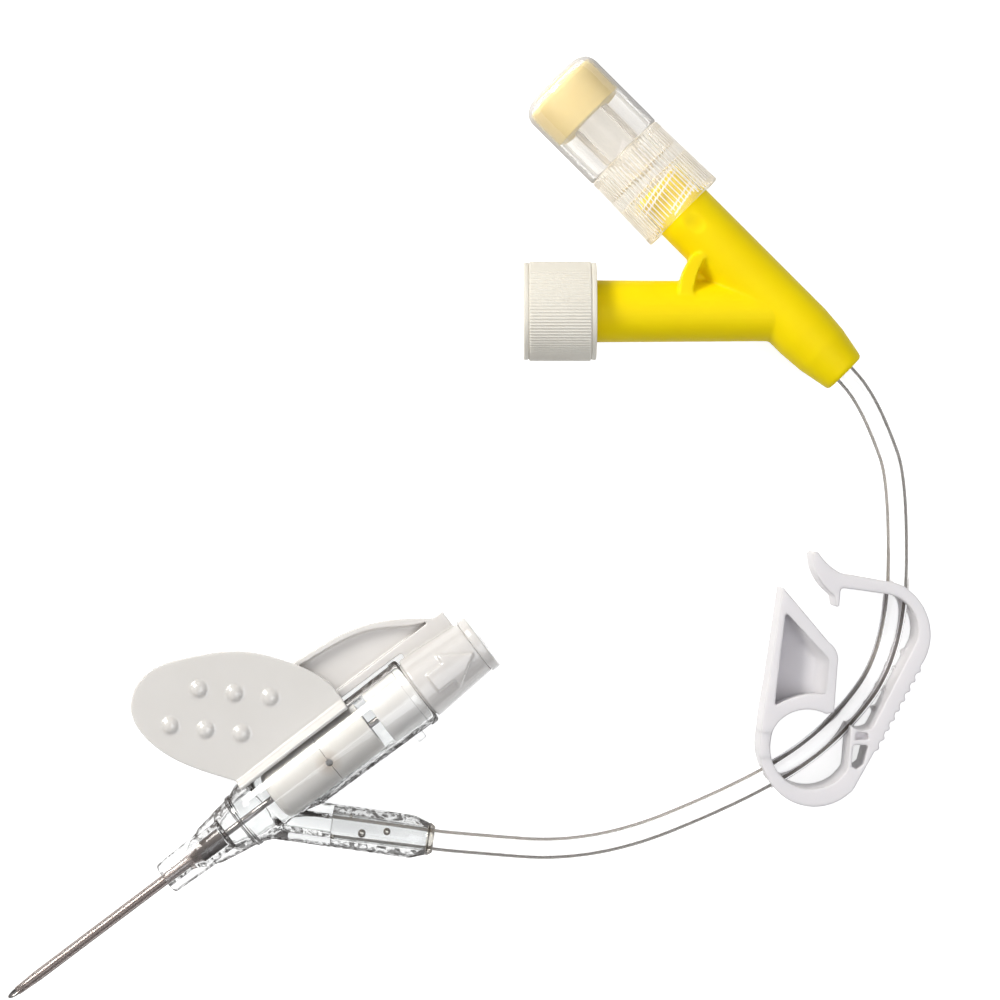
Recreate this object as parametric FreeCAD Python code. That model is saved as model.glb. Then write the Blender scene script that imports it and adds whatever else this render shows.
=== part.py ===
import FreeCAD, Part
import math
import os

# Closed intravenous cannula set, at rest on a table, in millimetres.
# X runs along the catheter, from its tip towards the needle hub, and Z is up.
# The origin is on the catheter's axis, at the front face of the adapter's nose.
Vec = FreeCAD.Vector
X_AXIS = Vec(1, 0, 0)
Z_AXIS = Vec(0, 0, 1)
FULL_TURN = 360.0

# Clearances, and how far a cut runs past the face that it opens
bond_gap = 0.02
tube_fit = 0.06
running_gap = 0.05
soft_gap = 0.15
past = 1.0

# Catheter and needle
catheter_reach = 19.0
catheter_od = 1.10
catheter_wall = 0.15
catheter_tip_taper = 2.6
catheter_tip_wall = 0.03
catheter_seat = 3.2
flare_length = 1.2
flare_rise = 0.45
needle_od = 0.72
needle_bore = 0.50
needle_lead = 1.2
bevel_angle = 17.0
catheter_r = catheter_od / 2
needle_r = needle_od / 2
needle_way_r = needle_r + running_gap

# Metal wedge that locks the catheter in the nose
wedge_setback = 0.3
wedge_floor = 0.8
wedge_collar_r = 1.02
wedge_rear = 7.4
wedge_funnel_r = 0.85
wedge_room = 0.2

# Catheter adapter: nose, cone, barrel and side arm
nose_front_r = 1.68
nose_rear_r = 1.88
nose_length = 5.2
nose_step = 0.4
cone_front_r = 2.12
cone_rear_r = 2.80
cone_rear = 9.6
ring_r = 3.0
ring_width = 0.5
ring_bevel = 0.1
shoulder = 11.3
barrel_front_r = 3.38
barrel_rear_r = 3.68
barrel_rear = 32.1
rim_r = 3.8
rim_width = 0.9
bore_front = 13.2
bore_front_r = 2.90
bore_rear_r = 3.12
throat_r = 2.50
throat_bevel = 0.7
throat_front = 10.4
throat_front_r = 2.20
funnel_step = 0.4
lug_x = 29.5
lug_r = 0.5
lug_height = 1.4

# Side arm for the extension tube
arm_root_x = 11.0
arm_angle = -45.0
arm_length = 18.2
arm_r = 2.2
arm_end_r = 1.6
arm_chamfer = 1.7
arm_way_r = 0.75

# Extension tube and its route, laid by hand
tube_od = 2.54
tube_id = 1.50
tube_r = tube_od / 2
TUBE_ROUTE = [
    (16.80, -5.80, 0.0),
    (25.40, -14.40, 0.0),
    (36.40, -24.10, 0.0),
    (52.50, -28.40, 0.0),
    (62.90, -29.30, 0.0),
    (73.50, -26.20, 0.1),
    (84.20, -13.10, 0.7),
    (86.62, -3.00, 1.25),
    (85.49, 5.00, 1.25),
]
ARC_SHARE = 0.45

# Septum housing and needle-tip shield, inside the barrel
housing_front = 13.8
housing_rear = 20.7
housing_r = 2.78
housing_rounding = 0.8
septum_way_r = 1.0
septum_r = 2.05
septum_front = 15.0
septum_length = 4.2
shield_gap = 0.2
shield_rear = 26.1
shield_spigot_r = 1.95
shield_spigot = 1.1
shield_cave_r = 1.60
shield_wall = 0.5
window_r = 0.55
window_y = -0.45
clip_thickness = 0.22
clip_width = 1.9
clip_half_height = 1.15
clip_corner = 0.4
clip_bend = 0.1
clip_short_leg = 1.6
washer_thickness = 0.4

# Needle hub with its grip paddle
spigot_front = 27.3
spigot_wall = 1.8
hub_front_r = 3.48
hub_rear_r = 2.94
hub_gap = 0.2
hub_rear = 39.4
hub_chamber_r = 1.9
arrow_start = 33.9
arrow_neck = 35.9
arrow_tip = 39.0
arrow_half_width = 2.0
arrow_shaft_half = 1.05
arrow_height = 0.3
arrow_root = 0.3
arrow_y = -0.35
end_cap_r = 3.12
end_cap_thickness = 1.0
end_cap_rounding = 0.2
end_plug_length = 2.4
filter_r = 0.9
filter_front_gap = 0.4
filter_rear_gap = 0.3
rail_front = 13.0
rail_rear = 38.9
rail_y = 3.95
rail_width = 0.85
paddle_top = -0.55
paddle_bottom = -2.05
paddle_rim = 0.6
paddle_floor = 0.55
link_front = 33.0
link_inner_y = 2.0
PADDLE_EDGE = [
    (13.3, 6.3),
    (14.6, 8.4),
    (18.0, 9.8),
    (24.2, 9.74),
    (29.2, 9.15),
    (33.3, 7.75),
    (36.7, 5.6),
]

# Grip wing on the adapter
wing_front = 11.8
wing_rear = 25.5
wing_y = 3.75
wing_bottom = 0.45
wing_thickness = 1.0
saddle_thickness = 0.5
saddle_low_angle = -3.0
saddle_high_angle = 42.0
WING_EDGE = [
    (9.2, 7.4),
    (7.25, 12.0),
    (7.6, 15.8),
    (10.8, 17.9),
    (15.1, 16.85),
    (20.4, 13.75),
    (23.5, 10.0),
    (25.1, 7.0),
]
bump_r = 0.92
bump_height = 0.42
bump_root = 0.1
bump_step = (2.65, -2.51)
bump_rows = ((14.45, 13.45), (9.90, 12.25))
bumps_in_row = 3

# Y connector: its own axes are turned by lay_angle from the catheter's
lay_angle = -37.0
joint_x = 85.02
joint_y = 8.38
port_r = 3.2
cap_arm_length = 18.1
cap_arm_angle = 135.0
vent_arm_length = 25.2
vent_arm_angle = 180.0
vent_arm_root_r = 3.05
y_nose_length = 8.9
y_nose_r = 2.35
y_nose_straight = 3.0
y_nose_taper = 3.4
y_nose_shoulder_r = 3.0
y_nose_rounding = 0.4
tube_socket = 5.5
luer_mouth_r = 2.15
luer_taper = 0.03
luer_depth = 7.5
port_way_r = 1.0
lug_outer_r = 3.85
lug_width = 1.1
lug_root = 0.4
lug_bevel = 0.3
lug_setback = 0.3
lug_sweep = 80.0
LUG_STARTS = (10.0, 190.0)
strap_half_height = 2.75
STRAP_OUTLINE = [
    (-10.66, 1.4),
    (-9.25, 1.4),
    ((-8.75, 3.9), (-7.65, 5.82)),
    (-9.3, 5.6),
    ((-10.35, 3.6), (-10.66, 1.4)),
]
web_half = 0.45
WEB_OUTLINE = [(-9.9, 2.2), (-6.0, 2.2), (-6.0, 4.6), (-8.6, 5.4)]
dimple_at = (-9.2, 8.6)
dimple_ball_r = 3.0
dimple_depth = 0.25

# Injection cap on the long arm
collar_length = 8.55
collar_overlap = 3.85
collar_rear_r = 4.75
collar_front_r = 4.52
collar_bore_r = 4.0
collar_ribs = 64
collar_rib_depth = 0.12
luer_engagement = 4.8
luer_clearance = 0.04
web_setback = 0.6
web_thickness = 1.3
luer_way_r = 0.9
luer_way_depth = 0.9
inner_tube_r = 2.3
inner_tube_step = 0.2
inner_tube_bore_r = 1.6
inner_tube_floor = 1.5
stopper_front = 27.8
stopper_setback = 0.15
housing_end = 33.0
housing_outer_r = 4.55
housing_foot = 1.0
housing_wall = 0.6
housing_corner = 0.6
housing_rounding_end = 1.3
stopper_opening_r = 2.6

# Vent cap on the side port
vent_cap_length = 7.35
vent_cap_overlap = 6.2
vent_cap_r = 5.05
vent_cap_bore_r = 4.0
vent_cap_ribs = 80
vent_rib_depth = 0.14
vent_rim = 0.5
vent_rim_r = 4.95
vent_web_setback = 0.2
vent_hole_r = 1.1
membrane_r = 1.7
membrane_thickness = 0.5
membrane_setback = 0.08

# Pinch clamp: its loop's centre, and outline points from there
clamp_x = 60.22
clamp_y = -28.26
clamp_width = 7.6
hinge_at = (-4.23, 0.31)
hinge_r = 0.55
hinge_gap = 0.05
LOOP_OUTLINE = [
    (-4.80, 0.10),
    ((-4.42, -2.20), (-2.96, -4.49)),
    ((0.80, -6.02), (4.69, -4.29)),
    (7.15, 0.10),
    (11.35, 7.95),
    ((12.50, 11.90), (10.31, 15.92)),
    ((9.45, 16.45), (8.37, 16.73)),
    (3.47, 17.60),
    ((2.04, 18.60), (1.12, 19.80)),
    (0.55, 19.70),
    (0.71, 18.27),
    ((1.50, 16.60), (2.80, 15.30)),
    (2.98, 14.08),
    (3.28, 14.29),
    (3.42, 16.12),
    (8.27, 15.46),
    ((10.80, 13.60), (11.02, 10.61)),
    (6.60, 2.02),
    ((5.30, 1.75), (4.45, 2.20)),
    (4.08, -2.14),
    ((0.00, -4.20), (-3.72, 0.10)),
]
LOOP_WINDOW = [(4.7, 0.25), (4.5, -1.9), (5.0, -2.25), (5.7, -1.7), (6.2, 0.2)]
NOTCH_OUTLINE = [(4.85, 0.75), (5.0, 1.55), (6.1, 1.5), (6.3, 0.8)]
notch_depth = 0.8
WEDGE_OUTLINE = [
    (-4.78, 0.31),
    ((-4.45, 3.30), (-3.88, 6.63)),
    (-2.45, 16.22),
    (2.24, 10.61),
    ((3.01, 9.69), (3.12, 8.37)),
    (2.75, 3.55),
    (1.95, 3.35),
    ((-0.40, 3.80), (-2.14, 3.16)),
    ((-3.25, 2.00), (-3.68, 0.31)),
]
POCKET_OUTLINE = [
    (-2.14, 13.7),
    (1.68, 9.45),
    ((2.10, 8.90), (2.15, 8.30)),
    (1.90, 5.35),
    (0.10, 5.40),
    ((-1.50, 5.00), (-3.25, 4.20)),
]
pocket_floor = 2.6
ridge_count = 9
ridge_r = 0.28
ridge_first = (7.08, -0.06)
ridge_last = (11.28, 7.79)
nub_r = 0.25
nub_height = 2.0
NUBS = [(7.30, 3.65), (8.40, 5.7), (9.45, 7.7), (10.35, 9.45)]

# The set rests on the table on the vent cap, the barrel's rim and the clamp's edge
table_z = -rim_r
joint_z = table_z + vent_cap_r
clamp_z = table_z + clamp_width / 2


def wire_of(start, *steps):
    """A closed flat wire. A step is a point, or a point on an arc and the arc's end."""
    edges = []
    here = Vec(start[0], start[1], 0)
    for step in steps + (start,):
        points = [step] if isinstance(step[0], (int, float)) else list(step)
        ends = [Vec(p[0], p[1], 0) for p in points]
        if (ends[-1] - here).Length < 1e-6:
            continue
        if len(ends) == 2:
            edges.append(Part.Arc(here, ends[0], ends[1]).toShape())
        else:
            edges.append(Part.LineSegment(here, ends[0]).toShape())
        here = ends[-1]
    return Part.Wire(edges)


def plate(wire, bottom, top):
    """The flat wire's area, made solid between two heights."""
    face = Part.Face(wire)
    face.translate(Vec(0, 0, bottom))
    return face.extrude(Vec(0, 0, top - bottom))


def leaf(points):
    """A closed flat wire: a smooth curve through the points, and a straight root."""
    curve = Part.BSplineCurve()
    ends = [Vec(x, y, 0) for x, y in points]
    curve.interpolate(ends)
    return Part.Wire([curve.toShape(), Part.LineSegment(ends[-1], ends[0]).toShape()])


def turned(points, sweep=FULL_TURN, start=0.0):
    """A solid of revolution about X, from its half section as (x, radius)."""
    ring = [Vec(x, r, 0) for x, r in points]
    face = Part.Face(Part.makePolygon(ring + ring[:1]))
    solid = face.revolve(Vec(0, 0, 0), X_AXIS, sweep)
    solid.rotate(Vec(0, 0, 0), X_AXIS, start)
    return solid


def rod(x0, x1, r, r1=None):
    """A round bar or cone along X."""
    return turned([(x0, 0), (x0, r), (x1, r if r1 is None else r1), (x1, 0)])


def ring_edges(shape, x, r):
    """The circular edges about X at this place and radius."""
    found = []
    for edge in shape.Edges:
        curve = edge.Curve
        if isinstance(curve, Part.Circle) and abs(curve.Center.x - x) < 1e-4 and abs(curve.Radius - r) < 1e-4:
            found.append(edge)
    return found


def upright(x, y, bottom, top, r):
    """A round bar along Z."""
    return Part.makeCylinder(r, top - bottom, Vec(x, y, bottom))


def laid(shape, x, y, z):
    """Turns a piece of the connector or clamp to its resting angle and puts it in place."""
    shape.rotate(Vec(0, 0, 0), Z_AXIS, lay_angle)
    shape.translate(Vec(x, y, z))
    return shape


def on_arm(shape, angle):
    """Puts what was made along X on one arm of the Y connector."""
    shape.rotate(Vec(0, 0, 0), Z_AXIS, angle)
    return laid(shape, joint_x, joint_y, joint_z)


def ribbed_bar(x0, x1, r0, r1, ribs, depth):
    """A tapering bar along X with pointed ribs along it."""
    rings = []
    for x, r in ((x0, r0), (x1, r1)):
        points = []
        for i in range(2 * ribs):
            angle = math.pi * i / ribs
            reach = r - depth * (i % 2)
            points.append(Vec(x, reach * math.cos(angle), reach * math.sin(angle)))
        rings.append(Part.makePolygon(points + points[:1]))
    return Part.makeLoft(rings, True, True)


def barrel_radius(x):
    """The barrel's outer radius at x, along its taper."""
    share = (x - shoulder) / (barrel_rear - shoulder)
    return barrel_front_r + share * (barrel_rear_r - barrel_front_r)


def bore_radius(x):
    """The barrel's inner radius at x, along its taper."""
    share = (x - bore_front) / (barrel_rear - bore_front)
    return bore_front_r + share * (bore_rear_r - bore_front_r)


def path_of(route):
    """Straight runs joined by tangent arcs, with the arcs' radii."""
    points = [Vec(*p) for p in route]
    edges = []
    radii = []
    here = points[0]
    for before, corner, after in zip(points, points[1:], points[2:]):
        back = before - corner
        on = after - corner
        half_turn = (math.pi - back.getAngle(on)) / 2
        cut = ARC_SHARE * min(back.Length, on.Length)
        radius = cut / math.tan(half_turn)
        radii.append(radius)
        back.normalize()
        on.normalize()
        enter = corner + back * cut
        leave = corner + on * cut
        inward = back + on
        inward.normalize()
        middle = corner + inward * (radius / math.cos(half_turn) - radius)
        edges.append(Part.LineSegment(here, enter).toShape())
        edges.append(Part.Arc(enter, middle, leave).toShape())
        here = leave
    edges.append(Part.LineSegment(here, points[-1]).toShape())
    return Part.Wire(edges), radii


def pipe(wire, r):
    """A solid round bar along the wire."""
    first = wire.Edges[0]
    start = first.FirstParameter
    section = Part.Circle(first.valueAt(start), first.tangentAt(start), r).toShape()
    return wire.makePipeShell([Part.Wire([section])], True, False)


def catheter_tube():
    flare_rear = catheter_seat + flare_length
    bore_r = catheter_r - catheter_wall
    tip = -catheter_reach
    return turned([
        (tip, bore_r),
        (tip, bore_r + catheter_tip_wall),
        (tip + catheter_tip_taper, catheter_r),
        (catheter_seat, catheter_r),
        (flare_rear, catheter_r + flare_rise),
        (flare_rear, bore_r + flare_rise),
        (catheter_seat, bore_r),
    ])


def catheter_wedge():
    slope = flare_rise / flare_length
    front = catheter_seat + wedge_setback
    flare_rear = catheter_seat + flare_length
    bore_r = catheter_r - catheter_wall
    collar = flare_rear + bond_gap
    return turned([
        (front, needle_way_r),
        (front, bore_r + slope * (front - catheter_seat) - bond_gap),
        (flare_rear, bore_r + flare_rise - bond_gap),
        (collar, bore_r + flare_rise - bond_gap),
        (collar, wedge_collar_r),
        (wedge_rear, wedge_collar_r),
        (wedge_rear, wedge_funnel_r),
        (collar + wedge_floor, needle_way_r),
    ])


def needle():
    tip = -(catheter_reach + needle_lead)
    rear = spigot_front + spigot_wall
    tube = turned([(tip, needle_bore / 2), (tip, needle_r), (rear, needle_r), (rear, needle_bore / 2)])
    reach = needle_od / math.sin(math.radians(bevel_angle))
    knife = Part.makeBox(2 * reach, 2 * needle_od, needle_od)
    knife.translate(Vec(-reach, -needle_od, 0))
    knife.rotate(Vec(0, 0, 0), Vec(0, 1, 0), -bevel_angle)
    knife.translate(Vec(tip, 0, -needle_r))
    return tube.cut(knife)


def adapter_body():
    nose_way = catheter_r + bond_gap
    collar_way = wedge_collar_r + bond_gap
    flare_rear = catheter_seat + flare_length + bond_gap
    ring_rear = cone_rear + ring_bevel + ring_width
    outside = [
        (0, nose_front_r),
        (nose_length, nose_rear_r),
        (nose_length + nose_step, cone_front_r),
        (cone_rear, cone_rear_r),
        (cone_rear + ring_bevel, ring_r),
        (ring_rear, ring_r),
        (ring_rear, cone_rear_r + ring_bevel),
        (shoulder, barrel_front_r),
        (barrel_rear - rim_width, barrel_radius(barrel_rear - rim_width)),
        (barrel_rear - rim_width, rim_r),
        (barrel_rear, rim_r),
    ]
    inside = [
        (barrel_rear, bore_rear_r),
        (bore_front, bore_front_r),
        (bore_front - throat_bevel, throat_r),
        (throat_front, throat_front_r),
        (wedge_rear + wedge_room + funnel_step, wedge_collar_r + funnel_step),
        (wedge_rear + wedge_room, collar_way),
        (flare_rear, collar_way),
        (catheter_seat, nose_way),
        (0, nose_way),
    ]
    body = turned(outside + inside)
    envelope = turned(outside + [(barrel_rear, 0), (0, 0)])
    arm = turned([
        (0, 0),
        (0, arm_r),
        (arm_length - arm_chamfer, arm_r),
        (arm_length, arm_end_r),
        (arm_length, 0),
    ])
    way = rod(0, arm_length, arm_way_r)
    socket = rod(tube_inner_end(), arm_length + past, tube_r + tube_fit)
    for piece in (arm, way, socket):
        piece.rotate(Vec(0, 0, 0), Z_AXIS, arm_angle)
        piece.translate(Vec(arm_root_x, 0, 0))
    hollow = turned(inside + [(0, 0), (barrel_rear, 0)])
    body = body.fuse(arm.cut(envelope).fuse(arm.common(envelope).cut(hollow)))
    lug = upright(lug_x, -(barrel_radius(lug_x) + lug_r / 2), -lug_height / 2, lug_height / 2, lug_r)
    body = body.fuse(lug.cut(hollow))
    return body.cut(way).cut(socket).removeSplitter()


def tube_inner_end():
    """How far down the side arm the tube's inner end lies."""
    first = TUBE_ROUTE[0]
    return math.hypot(first[0] - arm_root_x, first[1])


def septum_housing():
    well_r = septum_r + bond_gap
    solid = turned([
        (housing_front, septum_way_r),
        (housing_front, housing_r),
        (housing_rear, housing_r),
        (housing_rear, well_r),
        (septum_front, well_r),
        (septum_front, septum_way_r),
    ])
    solid = solid.makeFillet(housing_rounding, ring_edges(solid, housing_front, housing_r))
    return solid.cut(window())


def septum():
    return turned([
        (septum_front, needle_r + bond_gap),
        (septum_front, septum_r),
        (septum_front + septum_length, septum_r),
        (septum_front + septum_length, needle_r + bond_gap),
    ])


def window():
    """The round sight hole over the shield's clip."""
    return upright(housing_rear, window_y, clip_half_height + 2 * clip_thickness, housing_r + past, window_r)


def shield_front():
    """Where the shield's wide part starts, just behind the septum housing."""
    return housing_rear + shield_gap


def tip_shield_housing():
    front = shield_front()
    spigot = front - shield_spigot
    solid = turned([
        (spigot, needle_way_r),
        (spigot, shield_spigot_r),
        (front, shield_spigot_r),
        (front, housing_r),
        (shield_rear, housing_r),
        (shield_rear, shield_cave_r),
        (spigot + shield_wall, shield_cave_r),
        (spigot + shield_wall, needle_way_r),
    ])
    return solid.cut(window())


def shield_clip():
    """A steel strip bent into a hairpin around the needle."""
    front = shield_front() - shield_spigot + shield_wall + running_gap
    rear = shield_rear - washer_thickness - shield_gap
    inner = clip_half_height - clip_thickness
    outline = wire_of(
        (rear, -clip_half_height),
        (front + clip_corner, -clip_half_height),
        ((front + clip_bend, -clip_half_height + clip_bend), (front, -clip_half_height + clip_corner)),
        (front, clip_half_height - clip_corner),
        ((front + clip_bend, clip_half_height - clip_bend), (front + clip_corner, clip_half_height)),
        (rear - clip_short_leg, clip_half_height),
        (rear - clip_short_leg, inner),
        (front + clip_thickness, inner),
        (front + clip_thickness, -inner),
        (rear, -inner),
    )
    strip = plate(outline, -clip_width / 2, clip_width / 2)
    strip.rotate(Vec(0, 0, 0), X_AXIS, 90)
    return strip.cut(rod(front - past, rear, needle_way_r))


def shield_washer():
    return turned([
        (shield_rear - washer_thickness, needle_way_r),
        (shield_rear - washer_thickness, shield_cave_r - bond_gap),
        (shield_rear, shield_cave_r - bond_gap),
        (shield_rear, needle_way_r),
    ])


def needle_hub():
    """Spigot, hub and grip paddle, moulded in one."""
    collar_front = barrel_rear + hub_gap
    spigot_r = bore_radius(spigot_front) - running_gap
    needle_seat = needle_r + bond_gap
    chamber_front = spigot_front + spigot_wall
    section = [
        (spigot_front, needle_seat),
        (spigot_front, spigot_r),
        (collar_front, spigot_r),
        (collar_front, hub_front_r),
        (hub_rear, hub_rear_r),
        (hub_rear, hub_chamber_r),
        (chamber_front, hub_chamber_r),
        (chamber_front, needle_seat),
    ]
    chamber = rod(chamber_front, hub_rear, hub_chamber_r)
    hub = turned(section)
    arrow = plate(
        wire_of(
            (arrow_start, arrow_y - arrow_shaft_half),
            (arrow_neck, arrow_y - arrow_shaft_half),
            (arrow_neck, arrow_y - arrow_half_width),
            (arrow_tip, arrow_y),
            (arrow_neck, arrow_y + arrow_half_width),
            (arrow_neck, arrow_y + arrow_shaft_half),
            (arrow_start, arrow_y + arrow_shaft_half),
        ),
        0,
        hub_front_r + past,
    )
    skin = rod(collar_front, hub_rear, hub_front_r + arrow_height, hub_rear_r + arrow_height)
    arrow = arrow.common(skin).cut(rod(collar_front, hub_rear, hub_chamber_r + arrow_root))
    reach = rail_y + rail_width - link_inner_y
    link = Part.makeBox(rail_rear - link_front, reach, paddle_top - paddle_bottom)
    link.translate(Vec(link_front, link_inner_y, paddle_bottom))
    return hub.fuse([arrow, link.cut(chamber), grip_paddle()]).removeSplitter()


def grip_paddle():
    """The paddle and the rail that carries it along the barrel."""
    rail = Part.makeBox(rail_rear - rail_front, rail_width, paddle_top - paddle_bottom)
    rail.translate(Vec(rail_front, rail_y, paddle_bottom))
    rim = [(rail_front, rail_y)] + PADDLE_EDGE + [(rail_rear, rail_y)]
    blade = plate(leaf(rim), paddle_bottom, paddle_top)
    inner_y = rail_y + rail_width
    share = 1 - paddle_rim / paddle_depth()
    shrunk = [(centre_pull(x), inner_y + (y - inner_y) * share) for x, y in PADDLE_EDGE]
    floor = [(centre_pull(rail_front), inner_y)] + shrunk + [(centre_pull(rail_rear), inner_y)]
    return blade.cut(plate(leaf(floor), paddle_bottom + paddle_floor, paddle_top + past)).fuse(rail)


def paddle_depth():
    """How far the paddle stands out from its rail."""
    return max(y for _, y in PADDLE_EDGE) - rail_y - rail_width


def centre_pull(x):
    """Moves a point of the paddle's edge in, along the rail, by the rim's width at the ends."""
    middle = (rail_front + rail_rear) / 2
    half = rail_rear - middle
    return middle + (x - middle) * (1 - 2 * paddle_rim / half)


def hub_end_cap():
    filter_way = filter_r + bond_gap
    plug_r = hub_chamber_r - bond_gap
    end_cap_rear = hub_rear + end_cap_thickness
    solid = turned([
        (hub_rear - end_plug_length, filter_way),
        (hub_rear - end_plug_length, plug_r),
        (hub_rear, plug_r),
        (hub_rear, end_cap_r),
        (end_cap_rear, end_cap_r),
        (end_cap_rear, filter_way),
    ])
    return solid.makeFillet(end_cap_rounding, ring_edges(solid, end_cap_rear, end_cap_r))


def hub_filter():
    front = hub_rear - end_plug_length + filter_front_gap
    return rod(front, hub_rear + end_cap_thickness - filter_rear_gap, filter_r)


def adapter_wing():
    """The soft wing with its finger bumps, and the saddle that holds it to the barrel."""
    top = wing_bottom + wing_thickness
    wing = plate(leaf([(wing_front, wing_y)] + WING_EDGE + [(wing_rear, wing_y)]), wing_bottom, top)
    ball_r = (bump_r ** 2 + bump_height ** 2) / (2 * bump_height)
    bumps = []
    for row_x, row_y in bump_rows:
        for i in range(bumps_in_row):
            x = row_x + i * bump_step[0]
            y = row_y + i * bump_step[1]
            ball = Part.makeSphere(ball_r, Vec(x, y, top + bump_height - ball_r))
            bumps.append(ball.common(upright(x, y, top - bump_root, top + 2 * bump_height, 2 * bump_r)))
    under = [(x, barrel_radius(x) + bond_gap) for x in (wing_front, wing_rear)]
    over = [(x, r + saddle_thickness) for x, r in reversed(under)]
    saddle = turned(under + over, saddle_high_angle - saddle_low_angle, saddle_low_angle)
    barrel = turned(under + [(wing_rear, 0), (wing_front, 0)])
    return wing.cut(barrel).fuse(bumps + [saddle]).removeSplitter()


def extension_tube():
    wire, radii = path_of(TUBE_ROUTE)
    tube = pipe(wire, tube_r).cut(pipe(wire, tube_id / 2))
    section = math.pi * (tube_r ** 2 - tube_id ** 2 / 4)
    print("tube length", round(wire.Length, 2), "arc radii", [round(r, 1) for r in radii])
    print("tube volume", round(tube.Volume, 2), "section by length", round(section * wire.Length, 2))
    return tube


def luer_bore(mouth):
    """The tapered socket of a port whose mouth is this far out, and the way behind it."""
    seat = mouth - luer_depth
    return turned([
        (0, 0),
        (0, port_way_r),
        (seat, port_way_r),
        (seat, luer_mouth_r - luer_taper * luer_depth),
        (mouth, luer_mouth_r),
        (mouth, 0),
    ])


def luer_lugs(mouth):
    """The two lugs that a lock collar's thread draws on."""
    rear = mouth - lug_setback
    section = [
        (rear - lug_width, port_r - lug_root),
        (rear - lug_width + lug_bevel, lug_outer_r),
        (rear - lug_bevel, lug_outer_r),
        (rear, port_r - lug_root),
    ]
    return [turned(section, lug_sweep, start) for start in LUG_STARTS]


def y_connector():
    nose_end = -y_nose_length
    main = turned([
        (nose_end, 0),
        (nose_end, y_nose_r),
        (nose_end + y_nose_taper, y_nose_shoulder_r),
        (-y_nose_straight, port_r),
        (cap_arm_length, port_r),
        (cap_arm_length, 0),
    ])
    main = main.makeFillet(y_nose_rounding, ring_edges(main, nose_end, y_nose_r))
    side = turned([
        (0, 0),
        (0, vent_arm_root_r),
        (vent_arm_length, port_r),
        (vent_arm_length, 0),
    ])
    main_ways = [
        luer_bore(cap_arm_length),
        rod(nose_end, nose_end + tube_socket, tube_r + tube_fit),
        rod(nose_end, 0, tube_id / 2),
    ]
    side_way = luer_bore(vent_arm_length)
    main = main.fuse(luer_lugs(cap_arm_length))
    side = side.fuse(luer_lugs(vent_arm_length))
    for piece in [main] + main_ways:
        piece.rotate(Vec(0, 0, 0), Z_AXIS, cap_arm_angle)
    for piece in (side, side_way):
        piece.rotate(Vec(0, 0, 0), Z_AXIS, vent_arm_angle)
    strap = plate(wire_of(*STRAP_OUTLINE), -strap_half_height, strap_half_height)
    web = plate(wire_of(*WEB_OUTLINE), -web_half, web_half)
    body = main.fuse([side, strap, web])
    ball = Part.makeSphere(dimple_ball_r)
    ball.translate(Vec(dimple_at[0], dimple_at[1], port_r + dimple_ball_r - dimple_depth))
    body = body.cut([ball, side_way] + main_ways).removeSplitter()
    return laid(body, joint_x, joint_y, joint_z)


def male_luer(tip, base, mouth):
    """Section points of a luer cone that seats in a port with this mouth."""
    points = []
    for x in (tip, base):
        points.append((x, luer_mouth_r + luer_taper * (x - mouth) - luer_clearance))
    return points


def injection_cap_luer():
    """The clear lower piece: lock collar, luer cone and inner tube."""
    mouth = cap_arm_length
    tip = mouth - luer_engagement
    web = mouth + web_setback
    collar = mouth - collar_overlap
    top = collar + collar_length
    collar_solid = ribbed_bar(collar, top, collar_rear_r, collar_front_r, collar_ribs, collar_rib_depth)
    hollow = rod(collar - past, web, collar_bore_r)
    groove = turned([
        (web + web_thickness, inner_tube_r),
        (web + web_thickness, housing_outer_r - housing_wall),
        (top + past, housing_outer_r - housing_wall),
        (top + past, inner_tube_r),
    ])
    core = turned(
        [(tip, luer_way_r)]
        + male_luer(tip, web, mouth)
        + [
            (web + inner_tube_step, inner_tube_r),
            (stopper_front - bond_gap, inner_tube_r),
            (stopper_front - bond_gap, inner_tube_bore_r),
            (web + inner_tube_floor, inner_tube_bore_r),
            (web + luer_way_depth, luer_way_r),
        ]
    )
    way = turned([
        (tip - past, 0),
        (tip - past, luer_way_r),
        (web + luer_way_depth, luer_way_r),
        (web + inner_tube_floor, inner_tube_bore_r),
        (top + past, inner_tube_bore_r),
        (top + past, 0),
    ])
    body = collar_solid.cut([hollow, groove, way]).fuse(core)
    return on_arm(body.removeSplitter(), cap_arm_angle)


def injection_cap_housing():
    """The clear upper shell around the rubber."""
    foot = cap_arm_length - collar_overlap + collar_length + bond_gap
    inner_r = housing_outer_r - housing_wall
    shell = turned([
        (foot, inner_r),
        (foot, collar_front_r),
        (foot + housing_foot, housing_outer_r),
        (housing_end, housing_outer_r),
        (housing_end, stopper_opening_r),
        (housing_end - housing_wall, stopper_opening_r),
        (housing_end - housing_wall, inner_r - housing_corner),
        (housing_end - housing_wall - housing_corner, inner_r),
    ])
    shell = shell.makeFillet(housing_rounding_end, ring_edges(shell, housing_end, housing_outer_r))
    return on_arm(shell, cap_arm_angle)


def injection_cap_stopper():
    """The rubber that a needle or blunt cannula goes through."""
    r = housing_outer_r - housing_wall - bond_gap
    top = housing_end - housing_wall - bond_gap
    button_r = stopper_opening_r - bond_gap
    rubber = turned([
        (stopper_front, 0),
        (stopper_front, r),
        (top - housing_corner, r),
        (top, r - housing_corner),
        (top, button_r),
        (housing_end - stopper_setback, button_r),
        (housing_end - stopper_setback, 0),
    ])
    return on_arm(rubber, cap_arm_angle)


def vent_cap_inner():
    return vent_arm_length - vent_cap_overlap


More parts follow.
